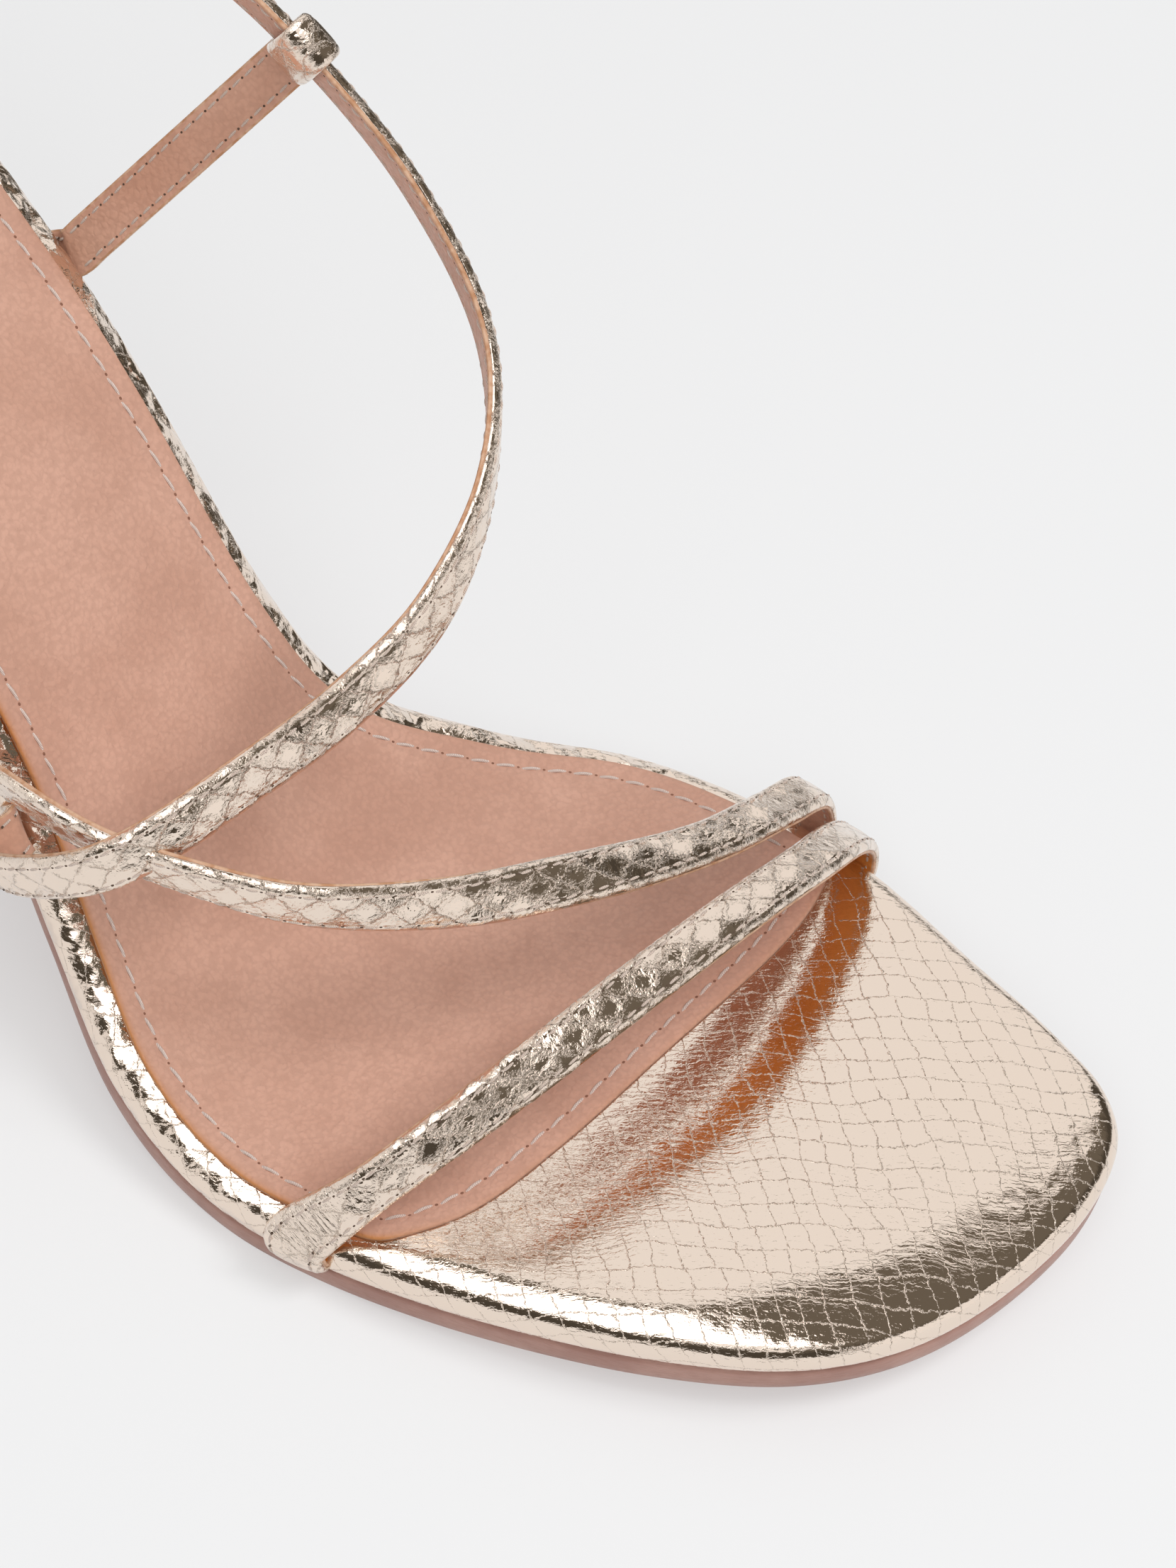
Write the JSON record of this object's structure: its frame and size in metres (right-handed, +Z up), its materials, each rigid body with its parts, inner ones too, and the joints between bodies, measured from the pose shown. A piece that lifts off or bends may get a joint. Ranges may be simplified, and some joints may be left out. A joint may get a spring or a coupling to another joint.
{
  "type": "strappy heeled sandal",
  "caption": "Right women's sandal with narrow metallic snake-embossed straps, a wrap-round ankle strap with a small pin buckle and a slim covered heel.",
  "frame": {"origin": "on the floor under the middle of the shoe's box", "axes": "+X towards the toe, +Y towards the inner side of the foot, +Z up"},
  "size_m": [0.229, 0.089, 0.1251],
  "materials": {
    "metallic_leather": "champagne metallic foil on snake-embossed leather, glossy",
    "nude_leather": "smooth, satin",
    "sole_leather": "smooth, waxed edge",
    "heel_rubber": "matt",
    "buckle_metal": "polished pale gold plate"
  },
  "bodies": {
    "root": {"outsole": "sole_leather", "wrapped_board": "metallic_leather", "sock_lining": "nude_leather", "heel_block": "metallic_leather", "heel_top_piece": "heel_rubber", "toe_strap": "metallic_leather", "crossed_straps": "metallic_leather", "inner_stay": "metallic_leather", "buckle_stay": "metallic_leather", "buckle_frame": "buckle_metal", "buckle_prong": "buckle_metal"}
  },
  "joints": []
}
